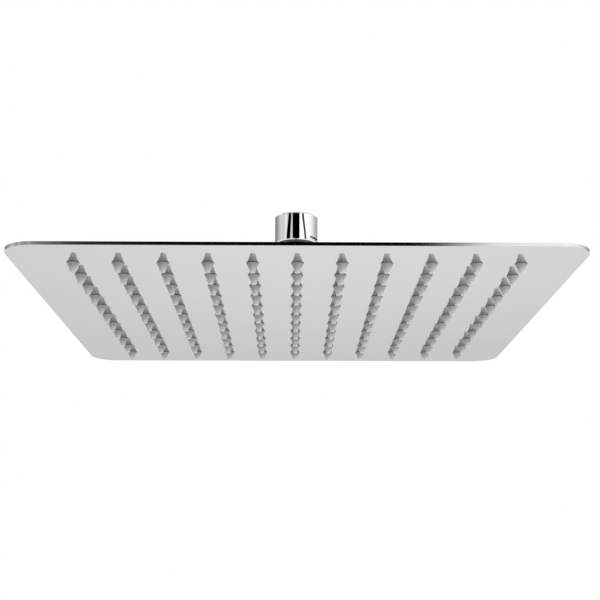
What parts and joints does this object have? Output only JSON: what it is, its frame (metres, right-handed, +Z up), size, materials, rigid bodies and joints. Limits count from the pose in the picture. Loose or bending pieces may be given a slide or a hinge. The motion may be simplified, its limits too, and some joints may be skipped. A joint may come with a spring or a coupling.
{
  "type": "rain shower head",
  "caption": "Square rain shower head: a thin polished steel plate with a grid of soft nozzles, hung by a threaded inlet collar on a ball joint.",
  "frame": {"origin": "centre of the inlet socket where its thread begins, under the lead-in chamfer of the collar", "axes": "+Z up along the inlet thread and out of the socket, X and Y along the sides of the plate, whose face looks down along -Z"},
  "size_m": [0.3, 0.3, 0.0691],
  "materials": {
    "polished_steel": "mirror-polished stainless sheet",
    "chrome_plate": "bright chrome plating on turned brass",
    "grey_silicone": "satin grey silicone",
    "black_rubber": "matt black moulded rubber",
    "white_plastic": "smooth moulded bearing plastic",
    "screen_steel": "plain stainless mesh"
  },
  "bodies": {
    "connector": {"swivel_connector": "chrome_plate", "inlet_washer": "black_rubber", "filter_screen": "screen_steel"},
    "liner": {"ball_liner": "white_plastic"},
    "seal": {"ball_seal": "black_rubber"},
    "head": {"face_plate": "polished_steel", "back_cover": "polished_steel", "inlet_base": "chrome_plate", "retaining_nut": "chrome_plate", "nozzle_row_01": "grey_silicone", "nozzle_row_02": "grey_silicone", "nozzle_row_03": "grey_silicone", "nozzle_row_04": "grey_silicone", "nozzle_row_05": "grey_silicone", "nozzle_row_06": "grey_silicone", "nozzle_row_07": "grey_silicone", "nozzle_row_08": "grey_silicone", "nozzle_row_09": "grey_silicone", "nozzle_row_10": "grey_silicone", "nozzle_row_11": "grey_silicone"}
  },
  "joints": [
    {"name": "tilt_to_and_fro", "type": "hinge", "parent": "connector", "child": "liner", "pos_m": [0, 0, -0.0387], "axis": [1, 0, 0], "range_deg": [-12, 12]},
    {"name": "tilt_sideways", "type": "hinge", "parent": "liner", "child": "seal", "pos_m": [0, 0, -0.0387], "axis": [0, 1, 0], "range_deg": [-12, 12]},
    {"name": "turn", "type": "hinge", "parent": "seal", "child": "head", "pos_m": [0, 0, -0.0387], "axis": [0, 0, 1], "continuous": true}
  ]
}
